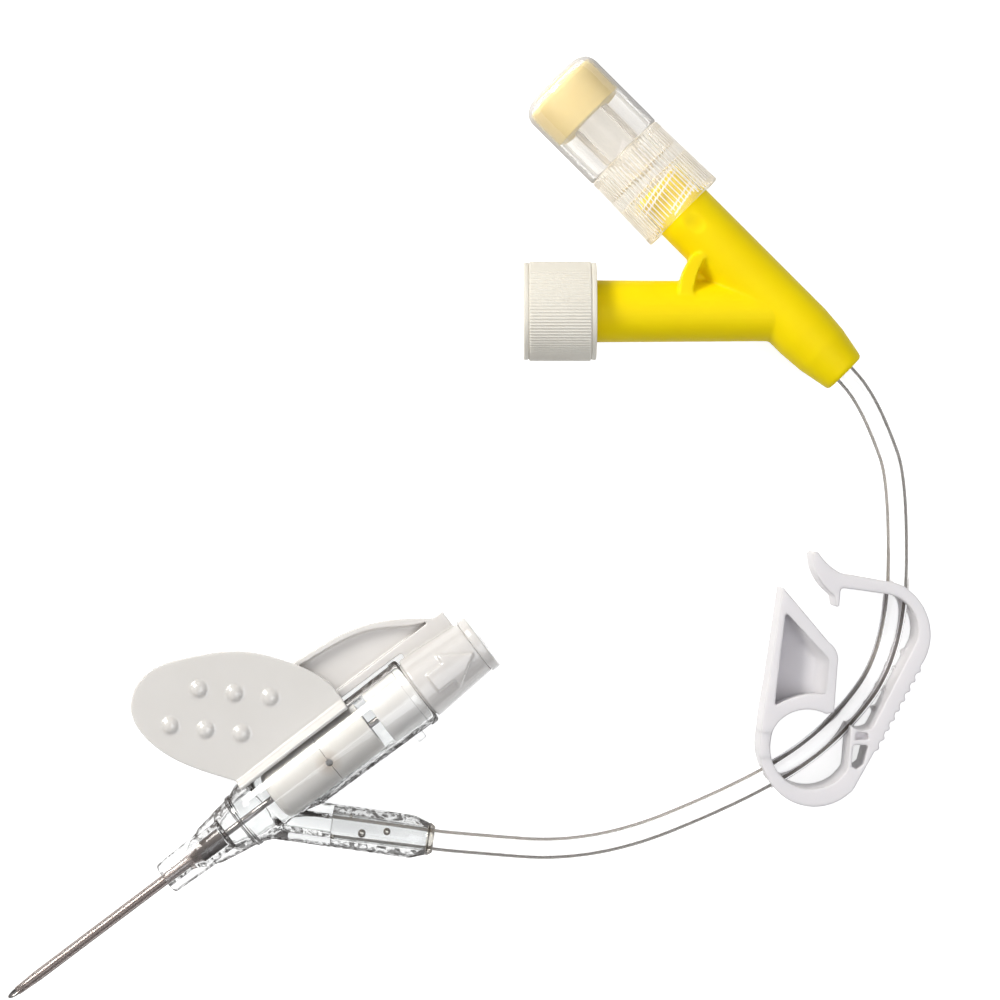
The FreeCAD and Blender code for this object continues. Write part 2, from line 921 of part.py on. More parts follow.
def vent_cap_shell():
    """The knurled cap with its own luer cone."""
    foot = vent_cap_inner()
    end = foot + vent_cap_length
    web = vent_arm_length + vent_web_setback
    tip = vent_arm_length - luer_engagement
    knurl = ribbed_bar(foot + vent_rim, end - vent_rim, vent_cap_r, vent_cap_r, vent_cap_ribs, vent_rib_depth)
    rims = [rod(foot, foot + vent_rim, vent_rim_r), rod(end - vent_rim, end, vent_rim_r)]
    hollow = rod(foot - past, web, vent_cap_bore_r)
    core = turned([(tip, 0)] + male_luer(tip, web, vent_arm_length) + [(web, 0)])
    seat = end - membrane_thickness - membrane_setback - bond_gap
    ways = [rod(tip - past, end + past, vent_hole_r), rod(seat, end + past, membrane_r + bond_gap)]
    body = knurl.fuse(rims).cut(hollow).fuse(core).cut(ways)
    return on_arm(body.removeSplitter(), vent_arm_angle)


def vent_cap_membrane():
    outside = vent_cap_inner() + vent_cap_length - membrane_setback
    return on_arm(rod(outside - membrane_thickness, outside, membrane_r), vent_arm_angle)


def clamp_seat():
    """The round seat around the clamp's flexing point."""
    return upright(hinge_at[0], hinge_at[1], -clamp_width, clamp_width, hinge_r + hinge_gap)


def clamp_body():
    """Loop, grip arm, bend and catch of the pinch clamp."""
    half = clamp_width / 2
    solid = plate(wire_of(*LOOP_OUTLINE), -half, half)
    window_cut = plate(wire_of(*LOOP_WINDOW), -half, half)
    notch = plate(wire_of(*NOTCH_OUTLINE), half - notch_depth, half)
    ridges = []
    for i in range(ridge_count):
        share = i / (ridge_count - 1)
        x, y = [a + share * (b - a) for a, b in zip(ridge_first, ridge_last)]
        ridges.append(upright(x, y, -half, half, ridge_r))
    nubs = [upright(x, y, -half, -half + nub_height, nub_r) for x, y in NUBS]
    solid = solid.fuse(ridges + nubs).cut([window_cut, notch, clamp_seat()])
    return laid(solid, clamp_x, clamp_y, clamp_z).cut(tube_way()).removeSplitter()


def clamp_wedge_arm():
    """The arm with the hollow wedge that pinches the tube against the jaw."""
    half = clamp_width / 2
    knuckle = ((hinge_at[0], hinge_at[1] - hinge_r), WEDGE_OUTLINE[0])
    outline = wire_of(*WEDGE_OUTLINE, knuckle)
    pocket = plate(wire_of(*POCKET_OUTLINE), -half + pocket_floor, half)
    solid = plate(outline, -half, half).cut(pocket)
    return laid(solid, clamp_x, clamp_y, clamp_z).cut(tube_way())


def tube_way():
    """The space that the clamp leaves around the tube."""
    wire, _ = path_of(TUBE_ROUTE)
    return pipe(wire, tube_r + soft_gap)


PIECES = {
    "catheter_tube": catheter_tube,
    "catheter_wedge": catheter_wedge,
    "adapter_body": adapter_body,
    "adapter_wing": adapter_wing,
    "septum_housing": septum_housing,
    "septum": septum,
    "tip_shield_housing": tip_shield_housing,
    "shield_clip": shield_clip,
    "shield_washer": shield_washer,
    "needle": needle,
    "needle_hub": needle_hub,
    "hub_end_cap": hub_end_cap,
    "hub_filter": hub_filter,
    "extension_tube": extension_tube,
    "y_connector": y_connector,
    "injection_cap_luer": injection_cap_luer,
    "injection_cap_housing": injection_cap_housing,
    "injection_cap_stopper": injection_cap_stopper,
    "vent_cap_shell": vent_cap_shell,
    "vent_cap_membrane": vent_cap_membrane,
    "clamp_body": clamp_body,
    "clamp_wedge_arm": clamp_wedge_arm,
}

os.makedirs("parts", exist_ok=True)
for name, make in PIECES.items():
    shape = make()
    shape.exportStep("parts/" + name + ".step")
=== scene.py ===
import math

import bmesh
import bpy
from mathutils import Matrix, Vector


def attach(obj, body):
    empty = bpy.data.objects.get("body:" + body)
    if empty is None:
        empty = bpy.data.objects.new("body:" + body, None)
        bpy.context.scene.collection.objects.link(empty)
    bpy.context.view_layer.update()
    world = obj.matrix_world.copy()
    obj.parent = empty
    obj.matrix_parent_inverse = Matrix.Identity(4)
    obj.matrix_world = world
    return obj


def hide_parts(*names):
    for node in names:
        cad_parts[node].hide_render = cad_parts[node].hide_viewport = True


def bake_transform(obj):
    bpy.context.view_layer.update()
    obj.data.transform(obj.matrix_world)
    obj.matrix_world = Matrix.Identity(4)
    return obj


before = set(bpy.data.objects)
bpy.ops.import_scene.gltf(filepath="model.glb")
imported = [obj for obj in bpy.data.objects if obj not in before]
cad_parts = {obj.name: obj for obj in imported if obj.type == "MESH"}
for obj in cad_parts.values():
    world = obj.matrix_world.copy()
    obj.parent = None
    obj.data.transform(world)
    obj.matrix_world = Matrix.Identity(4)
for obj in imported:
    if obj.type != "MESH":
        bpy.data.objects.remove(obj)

# TABLE, LIGHT AND CAMERA
# The set lies on a white laminate table top. The camera looks straight down on it, and two
# large soft lamps light it, the brighter one from the upper left of the picture.
MM = 0.001
TABLE_Z = -3.8
VIEW_TURN = math.radians(-37.0)
VIEW_CENTRE = (50.49, 10.37)
VIEW_WIDTH = 102.04
VIEW_DISTANCE = 375.0
SENSOR_WIDTH = 36.0
TABLE_WIDTH = 1600.0
TABLE_GAP = 0.02
TABLE_GLOW = 0.78

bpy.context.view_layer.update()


def linear(code):
    """The linear RGBA of an sRGB hex colour."""
    channels = []
    for i in (1, 3, 5):
        value = int(code[i:i + 2], 16) / 255
        channels.append(value / 12.92 if value <= 0.04045 else ((value + 0.055) / 1.055) ** 2.4)
    return (*channels, 1.0)


def add_node(tree, kind, settings=None, links=None):
    """Adds a node with its settings, by socket or property name, and its incoming links."""
    node = tree.nodes.new(kind)
    for name, value in (settings or {}).items():
        if isinstance(name, int) or name in node.inputs:
            node.inputs[name].default_value = value
        else:
            setattr(node, name, value)
    for name, source in (links or {}).items():
        tree.links.new(source, node.inputs[name])
    return node


def new_material(name):
    """A material with a bare node tree and its output."""
    material = bpy.data.materials.new(name)
    material.use_nodes = True
    material.node_tree.nodes.clear()
    return material, material.node_tree, material.node_tree.nodes.new("ShaderNodeOutputMaterial")


def add_lamp(name, place, size, power, tint):
    """A square soft lamp, placed in metres from the middle of the picture, which it looks at."""
    data = bpy.data.lights.new(name, "AREA")
    data.size = size
    data.energy = power
    data.color = linear(tint)[:3]
    lamp = bpy.data.objects.new(name, data)
    middle = Vector((*VIEW_CENTRE, 0)) * MM
    lamp.location = Matrix.Rotation(VIEW_TURN, 3, "Z") @ Vector(place) + middle
    lamp.rotation_euler = (middle - lamp.location).to_track_quat("-Z", "Y").to_euler()
    bpy.context.scene.collection.objects.link(lamp)


# Laminate: matt white. It shows as plain white to the eye and through the clear plastics,
# and keeps a faint shadow under the set.
laminate, tree, output = new_material("white_laminate")
paths = add_node(tree, "ShaderNodeLightPath")
seen = paths.outputs["Is Camera Ray"]
for ray in ("Is Glossy Ray", "Is Transmission Ray"):
    either = add_node(tree, "ShaderNodeMath", {"operation": "MAXIMUM"}, {0: seen, 1: paths.outputs[ray]})
    seen = either.outputs[0]
strength = add_node(tree, "ShaderNodeMath", {"operation": "MULTIPLY", 1: TABLE_GLOW}, {0: seen})
matt = add_node(tree, "ShaderNodeBsdfDiffuse", {"Color": linear("#C8C8C8")})
glow = add_node(tree, "ShaderNodeEmission", {}, {"Strength": strength.outputs[0]})
both = add_node(tree, "ShaderNodeAddShader", {}, {0: matt.outputs[0], 1: glow.outputs[0]})
tree.links.new(both.outputs[0], output.inputs["Surface"])

bpy.ops.mesh.primitive_plane_add(
    size=TABLE_WIDTH * MM,
    location=(VIEW_CENTRE[0] * MM, VIEW_CENTRE[1] * MM, (TABLE_Z - TABLE_GAP) * MM),
)
table_top = bpy.context.object
table_top.name = "table_top"
table_top.data.materials.append(laminate)

# The room above the table is bright overhead and dim near the horizon. The clear plastics
# reflect it near their edges, but their dark edges are mainly a painted shade in their materials.
room = bpy.data.worlds.new("studio_room")
room.use_nodes = True
tree = room.node_tree
tree.nodes.clear()
way = add_node(tree, "ShaderNodeTexCoord")
height = add_node(tree, "ShaderNodeSeparateXYZ", {}, {0: way.outputs["Generated"]})
rise = add_node(
    tree,
    "ShaderNodeMapRange",
    {"From Min": 0.15, "From Max": 0.75, "To Min": 0.03, "To Max": 0.72},
    {"Value": height.outputs["Z"]},
)
sky = add_node(tree, "ShaderNodeBackground", {}, {"Strength": rise.outputs[0]})
output = add_node(tree, "ShaderNodeOutputWorld")
tree.links.new(sky.outputs[0], output.inputs["Surface"])
bpy.context.scene.world = room

add_lamp("window_lamp", (-0.41, 0.30, 0.31), 0.25, 3.2, "#FFFDF8")
add_lamp("fill_lamp", (0.20, -0.10, 0.52), 0.40, 1.0, "#F7FAFF")

camera_data = bpy.data.cameras.new("camera")
camera_data.sensor_width = SENSOR_WIDTH
camera_data.lens = SENSOR_WIDTH * VIEW_DISTANCE / VIEW_WIDTH
camera_data.clip_start = 0.01
camera_data.clip_end = 10.0
camera = bpy.data.objects.new("camera", camera_data)
camera.location = (VIEW_CENTRE[0] * MM, VIEW_CENTRE[1] * MM, VIEW_DISTANCE * MM)
camera.rotation_euler = (0, 0, VIEW_TURN)
bpy.context.scene.collection.objects.link(camera)
bpy.context.scene.camera = camera
bpy.context.scene.view_settings.view_transform = "Standard"


# EXTENSION TUBE
# Clear flexible PVC tubing, extruded, 2.5 mm across with a 1.5 mm way. It is glued into the
# adapter's side arm and the Y connector's nose, and lies in a loose loop between them.
TUBE_R = 1.27
TUBE_WAY_R = 0.75
TUBE_POINTS = [
    (16.80, -5.80, 0.0),
    (23.60, -12.60, 0.0),
    (25.40, -14.40, 0.0),
    (36.40, -24.10, 0.0),
    (52.50, -28.40, 0.0),
    (62.90, -29.30, 0.0),
    (73.50, -26.20, 0.1),
    (84.00, -12.60, 0.7),
    (85.75, -6.80, 1.1),
    (86.40, -2.90, 1.25),
    (86.20, -0.05, 1.25),
    (85.49, 5.00, 1.25),
]


def add_object(name, mesh, body, material, soft_angle=40.0):
    """Puts a finished mesh in the scene, smooth but for its sharp corners."""
    piece = bpy.data.objects.new(name, mesh)
    bpy.context.scene.collection.objects.link(piece)
    mesh.materials.clear()
    mesh.materials.append(material)
    mesh.shade_smooth()
    mesh.set_sharp_from_angle(angle=math.radians(soft_angle))
    if body:
        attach(piece, body)
    return piece


def made(shell, name, place=None, outward=True):
    """The finished mesh of what was built in shell, moved by place."""
    if outward:
        bmesh.ops.recalc_face_normals(shell, faces=shell.faces)
    if place:
        shell.transform(place)
    mesh = bpy.data.meshes.new(name)
    shell.to_mesh(mesh)
    shell.free()
    return mesh


def centreline(points, steps):
    """Points along the smooth line that the tube follows."""
    curve = bpy.data.curves.new("centreline", "CURVE")
    curve.dimensions = "3D"
    spline = curve.splines.new("NURBS")
    spline.points.add(len(points) - 1)
    for place, point in zip(spline.points, points):
        place.co = (*(Vector(point) * MM), 1)
    spline.order_u = 3
    spline.use_endpoint_u = True
    spline.resolution_u = steps
    holder = bpy.data.objects.new("centreline", curve)
    bpy.context.scene.collection.objects.link(holder)
    bpy.context.view_layer.update()
    mesh = bpy.data.meshes.new_from_object(holder)
    line = [v.co.copy() for v in mesh.vertices]
    bpy.data.objects.remove(holder)
    bpy.data.meshes.remove(mesh)
    return line


def hose(name, line, outer, inner, sides):
    """A hollow tube along a line, with its wall closed at both ends."""
    shell = bmesh.new()
    rings = []
    side = (line[1] - line[0]).orthogonal().normalized()
    for i, point in enumerate(line):
        along = (line[min(i + 1, len(line) - 1)] - line[max(i - 1, 0)]).normalized()
        side = (side - along * side.dot(along)).normalized()
        across = along.cross(side)
        for r in (outer, inner):
            ring = []
            for k in range(sides):
                angle = 2 * math.pi * k / sides
                reach = side * math.cos(angle) + across * math.sin(angle)
                ring.append(shell.verts.new(point + reach * r * MM))
            rings.append(ring)
    outside, inside = rings[0::2], rings[1::2]
    for k in range(sides):
        n = (k + 1) % sides
        for a, b in zip(outside, outside[1:]):
            shell.faces.new((a[k], a[n], b[n], b[k]))
        for a, b in zip(inside, inside[1:]):
            shell.faces.new((a[n], a[k], b[k], b[n]))
        shell.faces.new((outside[0][n], outside[0][k], inside[0][k], inside[0][n]))
        shell.faces.new((outside[-1][k], outside[-1][n], inside[-1][n], inside[-1][k]))
    return made(shell, name)


PAINTED_EDGE_SHARE = 0.9
RIM_WIDTH = 0.2
THROWBACK_WIDTH = 0.04
GLINT_MM = 0.9
WAVE_DEPTH_MM = 0.05


def clear_plastic(name, tint, painted_edge_colour, ior, roughness, waviness, wave_mm, rim=0.60, haze=0.0, streaks=1.0):
    """A clear moulding or extrusion: it bends light and passes most of a shadow's light. Its
    outline, from the slope rim on, and the inner walls that throw light back get a painted
    shade: a diffuse colour that stands in for the dim room beside it, broken by bright streaks
    down to the share streaks. Haze is the share of that diffuse colour everywhere, for light
    that the plastic itself spreads, and the skin has the slight waviness that the mould or die
    leaves."""
    material, tree, output = new_material(name)
    place = add_node(tree, "ShaderNodeTexCoord")
    waves = add_node(
        tree,
        "ShaderNodeTexNoise",
        {"Scale": 1 / (wave_mm * MM), "Detail": 2.0},
        {"Vector": place.outputs["Object"]},
    )
    skin = add_node(
        tree,
        "ShaderNodeBump",
        {"Strength": waviness, "Distance": WAVE_DEPTH_MM * MM},
        {"Height": waves.outputs[0]},
    )
    plastic = add_node(
        tree,
        "ShaderNodeBsdfPrincipled",
        {"Base Color": linear(tint), "IOR": ior, "Roughness": roughness, "Transmission Weight": 1.0},
        {"Normal": skin.outputs[0]},
    )
    slope = add_node(tree, "ShaderNodeLayerWeight", {"Blend": 0.5})
    side = add_node(tree, "ShaderNodeNewGeometry")
    turned_back = 1 - math.sqrt(1 - 1 / ior ** 2)
    edges = []
    for start, width in ((rim, RIM_WIDTH), (turned_back, THROWBACK_WIDTH)):
        edges.append(add_node(
            tree,
            "ShaderNodeMapRange",
            {"From Min": start, "From Max": start + width, "To Min": haze, "To Max": PAINTED_EDGE_SHARE},
            {"Value": slope.outputs["Facing"]},
        ).outputs[0])
    share = add_node(tree, "ShaderNodeMix", {}, {0: side.outputs["Backfacing"], 2: edges[0], 3: edges[1]})
    glints = add_node(
        tree,
        "ShaderNodeTexNoise",
        {"Scale": 1 / (GLINT_MM * MM), "Detail": 1.0, "Distortion": 1.5},
        {"Vector": place.outputs["Object"]},
    )
    broken = add_node(
        tree,
        "ShaderNodeMapRange",
        {"From Min": 0.42, "From Max": 0.58, "To Min": streaks, "To Max": 1.0},
        {"Value": glints.outputs[0]},
    )
    share = add_node(tree, "ShaderNodeMath", {"operation": "MULTIPLY"}, {0: share.outputs[0], 1: broken.outputs[0]})
    # The painted shade of the outline and inner walls: a diffuse colour, not a reflection.
    painted_edge_shade = add_node(tree, "ShaderNodeBsdfDiffuse", {"Color": linear(painted_edge_colour)})
    with_painted_edges = add_node(
        tree, "ShaderNodeMixShader", {}, {0: share.outputs[0], 1: plastic.outputs[0], 2: painted_edge_shade.outputs[0]}
    )
    paths = add_node(tree, "ShaderNodeLightPath")
    passing = add_node(tree, "ShaderNodeBsdfTransparent", {"Color": linear("#F4F4F4")})
    mix = add_node(
        tree,
        "ShaderNodeMixShader",
        {},
        {0: paths.outputs["Is Shadow Ray"], 1: with_painted_edges.outputs[0], 2: passing.outputs[0]},
    )
    tree.links.new(mix.outputs[0], output.inputs["Surface"])
    return material


# Plasticised PVC is clear with a faint grey cast, glossy outside and in. Its outline and the
# inner walls of its way get a painted grey-brown shade.
clear_pvc = clear_plastic("clear_pvc", "#FBFBFB", "#857E77", 1.45, 0.02, 0.05, 4.0, rim=0.78)
tube_line = centreline(TUBE_POINTS, 16)
tube = hose("extension_tubing", tube_line, TUBE_R, TUBE_WAY_R, 40)
tube = add_object("extension_tubing", tube, "set", clear_pvc)
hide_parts("extension_tube")


# CATHETER
# A thin-walled tube of drawn polyurethane, slightly brown, whose tip is drawn down onto the
# needle. A metal wedge pressed in behind it locks it in the adapter's nose.
ON_AXIS = 1e-6
LEAST_CUT = 1e-4
NEARLY_STRAIGHT = 0.1


def soften(outline, radius, steps=4):
    """Rounds the corners of a turned outline, as a mould or a die does."""
    points = [Vector(p) for p in outline]
    rounded = []
    for before, corner, after in zip(points[-1:] + points[:-1], points, points[1:] + points[:1]):
        back, on = before - corner, after - corner
        cut = min(radius, 0.45 * back.length, 0.45 * on.length)
        back, on = back.normalized(), on.normalized()
        if corner.y < ON_AXIS or cut < LEAST_CUT or abs(back.cross(on)) < NEARLY_STRAIGHT:
            rounded.append(corner)
            continue
        a, b = corner + back * cut, corner + on * cut
        for i in range(steps + 1):
            t = i / steps
            rounded.append(a * (1 - t) ** 2 + corner * 2 * t * (1 - t) + b * t ** 2)
    return [(p.x, p.y) for p in rounded]


def lathe(name, outline, place=None, sides=96, ribs=None):
    """A piece turned about X from its closed half section of (x, radius), in millimetres.
    Ribs are (count, depth, least radius, first x, last x), and stand on what lies outside that
    radius."""
    shell = bmesh.new()
    rings = []
    for x, r in outline:
        if r < ON_AXIS:
            rings.append([shell.verts.new((x, 0, 0))])
            continue
        ring = []
        for k in range(sides):
            angle = 2 * math.pi * k / sides
            reach = r
            if ribs:
                count, depth, least, first, last = ribs
                if r > least and first <= x <= last:
                    reach -= depth * (0.5 - 0.5 * math.cos(count * angle))
            ring.append(shell.verts.new((x, reach * math.cos(angle), reach * math.sin(angle))))
        rings.append(ring)
    for a, b in zip(rings, rings[1:] + rings[:1]):
        for k in range(sides):
            n = (k + 1) % sides
            corners = [a[k % len(a)], a[n % len(a)], b[n % len(b)], b[k % len(b)]]
            corners = list(dict.fromkeys(corners))
            if len(corners) > 2:
                shell.faces.new(corners)
    return made(shell, name, Matrix.Scale(MM, 4) @ (place or Matrix.Identity(4)))


def paint(nodes, material):
    """Gives CAD nodes, which keep the CAD's shape, their material."""
    for node in nodes:
        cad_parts[node].data.materials.clear()
        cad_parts[node].data.materials.append(material)


CATHETER_TIP = -19.0
CATHETER_R = 0.55
# Drawn polyurethane: a faint brown haze, clear enough to show the needle, with a painted
# brown-grey shade on its edges.
polyurethane = clear_plastic(
    "drawn_polyurethane", "#F2EAE7", "#8F8480", 1.50, 0.10, 0.02, 3.0, rim=0.40, haze=0.15
)
catheter = lathe("catheter", soften([
    (CATHETER_TIP, 0.40),
    (CATHETER_TIP, 0.43),
    (CATHETER_TIP + 2.6, CATHETER_R),
    (3.2, CATHETER_R),
    (4.4, 1.0),
    (4.4, 0.85),
    (3.2, 0.40),
], 0.8), sides=48)
catheter = add_object("catheter", catheter, "set", polyurethane)
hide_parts("catheter_tube")

# Pressed stainless steel: dull grey, with the fine scratches of tumbling.
pressed_steel, tree, output = new_material("pressed_steel")
place = add_node(tree, "ShaderNodeTexCoord")
grit = add_node(
    tree, "ShaderNodeTexNoise", {"Scale": 1 / (0.12 * MM), "Detail": 4.0}, {"Vector": place.outputs["Object"]}
)
polish = add_node(tree, "ShaderNodeMapRange", {"To Min": 0.45, "To Max": 0.65}, {"Value": grit.outputs[0]})
steel = add_node(
    tree,
    "ShaderNodeBsdfPrincipled",
    {"Base Color": linear("#534C4A"), "Metallic": 1.0},
    {"Roughness": polish.outputs[0]},
)
tree.links.new(steel.outputs[0], output.inputs["Surface"])
paint(("catheter_wedge", "shield_clip", "shield_washer"), pressed_steel)


# NEEDLE
# Drawn stainless steel tube with a ground bevel, bonded into the hub. It fills the catheter
# and shows through the adapter behind it.
# The steel is bright, with the fine lines of drawing along it.
drawn_steel, tree, output = new_material("drawn_steel")
place = add_node(tree, "ShaderNodeTexCoord")
lines = add_node(
    tree, "ShaderNodeMapping", {"Scale": (90.0, 9000.0, 9000.0)}, {"Vector": place.outputs["Object"]}
)
lines = add_node(tree, "ShaderNodeTexNoise", {"Scale": 1.0, "Detail": 2.0}, {"Vector": lines.outputs[0]})
polish = add_node(tree, "ShaderNodeMapRange", {"To Min": 0.14, "To Max": 0.34}, {"Value": lines.outputs[0]})
steel = add_node(
    tree,
    "ShaderNodeBsdfPrincipled",
    {"Base Color": linear("#8F8A88"), "Metallic": 1.0},
    {"Roughness": polish.outputs[0]},
)
tree.links.new(steel.outputs[0], output.inputs["Surface"])
paint(("needle",), drawn_steel)


# CATHETER ADAPTER
# One clear polycarbonate moulding: a nose that holds the catheter, a cone, a barrel with a
# rim and lug at the rear, and a side arm into which the tubing is glued.
ARM_ROOT = 11.0
ARM_TURN = Matrix.Translation((ARM_ROOT, 0, 0)) @ Matrix.Rotation(math.radians(-45.0), 4, "Z")
ARM_LENGTH = 18.2
ARM_R = 2.2
TUBE_END = 8.2
SOCKET_R = 1.31
BARREL_END = 32.1
RIM_R = 3.8
BORE_R = 3.12


def as_shown(body):
    """The mesh of an object with its modifiers applied."""
    bpy.context.view_layer.update()
    return bpy.data.meshes.new_from_object(body.evaluated_get(bpy.context.evaluated_depsgraph_get()))


def combined(name, base, others):
    """The base mesh with each (mesh, operation) applied in turn."""
    body = bpy.data.objects.new(name, base)
    bpy.context.scene.collection.objects.link(body)
    tools = []
    for mesh, operation in others:
        tool = bpy.data.objects.new(mesh.name, mesh)
        bpy.context.scene.collection.objects.link(tool)
        tools.append(tool)
        step = body.modifiers.new(mesh.name, "BOOLEAN")
        step.operation = operation
        step.solver = "EXACT"
        step.object = tool
    result = as_shown(body)
    for item in [body] + tools:
        bpy.data.objects.remove(item)
    result.name = name
    return result


barrel = lathe("barrel", soften([
    (0, 0),
    (0, 1.68),
    (5.2, 1.88),
    (5.6, 2.12),
    (9.6, 2.80),
    (9.7, 3.0),
    (10.2, 3.0),
    (10.3, 2.92),
    (11.3, 3.38),
    (31.2, 3.665),
    (31.2, RIM_R),
    (BARREL_END, RIM_R),
    (BARREL_END, 0),
], 0.35), sides=128)
side_arm = lathe("side_arm", soften([
    (-1.5, 0),
    (-1.5, ARM_R),
    (ARM_LENGTH - 1.7, ARM_R),
    (ARM_LENGTH, 1.6),
    (ARM_LENGTH, 0),
], 0.4), ARM_TURN)
LUG_TURN = Matrix.Translation((29.5, 0, 0)) @ Matrix.Rotation(math.radians(-90), 4, "Z")
lug = lathe("lug", soften([(3.2, 0), (3.2, 0.5), (4.4, 0.5), (4.4, 0)], 0.45), LUG_TURN, sides=32)
bore = lathe("bore", soften([
    (-1, 0),
    (-1, 0.57),
    (3.2, 0.57),
    (4.42, 1.04),
    (7.6, 1.04),
    (8.0, 1.42),
    (9.75, 1.95),
    (9.75, 2.45),
    (9.98, 2.45),
    (9.98, 2.15),
    (12.5, 2.5),
    (13.2, 2.9),
    (BARREL_END, BORE_R),
    (33, BORE_R),
    (33, 0),
], 0.12), sides=128)
arm_way = lathe("arm_way", [
    (0, 0),
    (0, TUBE_WAY_R),
    (TUBE_END, TUBE_WAY_R),
    (TUBE_END, 0),
], ARM_TURN, sides=64)
arm_socket = lathe("arm_socket", [
    (TUBE_END - 0.02, 0),
    (TUBE_END - 0.02, SOCKET_R),
    (ARM_LENGTH + 1, SOCKET_R),
    (ARM_LENGTH + 1, 0),
], ARM_TURN, sides=64)
adapter = combined("adapter", barrel, [
    (side_arm, "UNION"),
    (lug, "UNION"),
    (bore, "DIFFERENCE"),
    (arm_way, "DIFFERENCE"),
    (arm_socket, "DIFFERENCE"),
])
# Clear polycarbonate: water-white, with a high gloss, and strongly bent edges that get a
# painted dark shade.
clear_polycarbonate = clear_plastic(
    "clear_polycarbonate", "#F8F9F9", "#453F3D", 1.57, 0.015, 0.08, 3.0, rim=0.42, streaks=0.25
)
adapter = add_object("adapter", adapter, "set", clear_polycarbonate)
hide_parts("adapter_body")

# Solvent glue around the tubing: a clear bead at the arm's mouth, and air bubbles, as
# (distance along the arm, across it, up, radius).
BUBBLES = [
    (11.4, -0.2, 1.75, 0.40),
    (8.45, -0.9, 1.4, 0.22),
    (13.9, 0.3, 1.72, 0.36),
    (10.1, 1.2, 1.2, 0.16),
]
# The glue's outline gets a painted grey-brown shade.
glue = clear_plastic("solvent_glue", "#F4EFE6", "#7A7268", 1.50, 0.03, 0.3, 0.6)
bead = lathe("glue_bead", soften([
    (17.9, 1.29),
    (17.95, 1.62),
    (18.25, 1.66),
    (18.55, 1.45),
    (18.75, 1.29),
], 0.12), ARM_TURN, sides=64)
bead = add_object("glue_bead", bead, "set", glue)
bubbles = bmesh.new()
for along, across, up, r in BUBBLES:
    centre = ARM_TURN @ Vector((along, across, up))
    bmesh.ops.create_uvsphere(bubbles, u_segments=24, v_segments=16, radius=r, matrix=Matrix.Translation(centre))
bmesh.ops.reverse_faces(bubbles, faces=bubbles.faces)
bubbles = made(bubbles, "glue_bubbles", Matrix.Scale(MM, 4), outward=False)
bubbles = add_object("glue_bubbles", bubbles, "set", glue)


# NEAR GRIP WING
# Soft milky polypropylene, moulded round the barrel's side, thin enough to flex, with six
# round bumps for the finger.
SAME_POINT = 0.0005


def cast(name, node, voxel_mm, passes):
    """The node's solid with the small rounded edges that a mould leaves."""
    gathered = bmesh.new()
    gathered.from_mesh(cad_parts[node].data)
    bmesh.ops.remove_doubles(gathered, verts=gathered.verts, dist=SAME_POINT * MM)
    mesh = made(gathered, name, outward=False)
    body = bpy.data.objects.new(name, mesh)
    bpy.context.scene.collection.objects.link(body)
    skin = body.modifiers.new("skin", "REMESH")
    skin.mode = "VOXEL"
    skin.voxel_size = voxel_mm * MM
    ease = body.modifiers.new("ease", "SMOOTH")
    ease.factor = 0.5
    ease.iterations = passes
    result = as_shown(body)
    bpy.data.objects.remove(body)
    bpy.data.meshes.remove(mesh)
    result.name = name
    return result


GRAIN_DEPTH_MM = 0.02


def moulded_plastic(name, light, dark, roughness, depth_mm, grain_mm, cloud_mm, relief, shine=0.4, skin_gloss=0.0):
    """An opaque or milky moulding: two close colours in soft clouds, a little light under the
    skin, and the fine grain of the mould. Shine and skin gloss set how much of the lamps shows
    on it."""
    material, tree, output = new_material(name)
    place = add_node(tree, "ShaderNodeTexCoord")
    clouds, grain = (
        add_node(
            tree, "ShaderNodeTexNoise", {"Scale": 1 / (size * MM), "Detail": 3.0}, {"Vector": place.outputs["Object"]}
        )
        for size in (cloud_mm, grain_mm)
    )
    shade = add_node(
        tree,
        "ShaderNodeMix",
        {"data_type": "RGBA", 6: linear(dark), 7: linear(light)},
        {0: clouds.outputs[0]},
    )
    skin = add_node(
        tree,
        "ShaderNodeBump",
        {"Strength": relief, "Distance": GRAIN_DEPTH_MM * MM},
        {"Height": grain.outputs[0]},
    )
    plastic = add_node(
        tree,
        "ShaderNodeBsdfPrincipled",
        {
            "Roughness": roughness,
            "IOR": 1.49,
            "Specular IOR Level": shine,
            "Coat Weight": skin_gloss,
            "Coat Roughness": 0.12,
            "Subsurface Weight": 0.45,
            "Subsurface Radius": (1.0, 0.95, 0.9),
            "Subsurface Scale": depth_mm * MM,
        },
        {"Base Color": shade.outputs[2], "Normal": skin.outputs[0]},
    )
    tree.links.new(plastic.outputs[0], output.inputs["Surface"])
    return material


# Natural polypropylene: milky grey-white, soft gloss, light creeping through its edges.
milky_polypropylene = moulded_plastic(
    "milky_polypropylene", "#D9D6D3", "#D2CFCB", 0.25, 0.8, 0.25, 6.0, 0.08, skin_gloss=1.0
)
wing = add_object("near_wing", cast("near_wing", "adapter_wing", 0.12, 4), "set", milky_polypropylene, 60)
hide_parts("adapter_wing")


# SEPTUM HOUSING AND TIP SHIELD
# Two white acetal turnings inside the barrel. The front one holds the septum, the rear one
# the steel clip that springs over the needle's tip. A small round sight hole shows the clip,
# and a brownish shade is painted on the wall around it, where the clip would show through.
PAINTED_CLIP_SHADE_AT = (20.6, -0.45, 2.6)
SIGHT_HOLE = Matrix.Translation((20.7, -0.45, 1.6)) @ Matrix.Rotation(math.radians(-90), 4, "Y")
SIGHT_HOLE_R = 0.38
HOUSING_R = 2.78
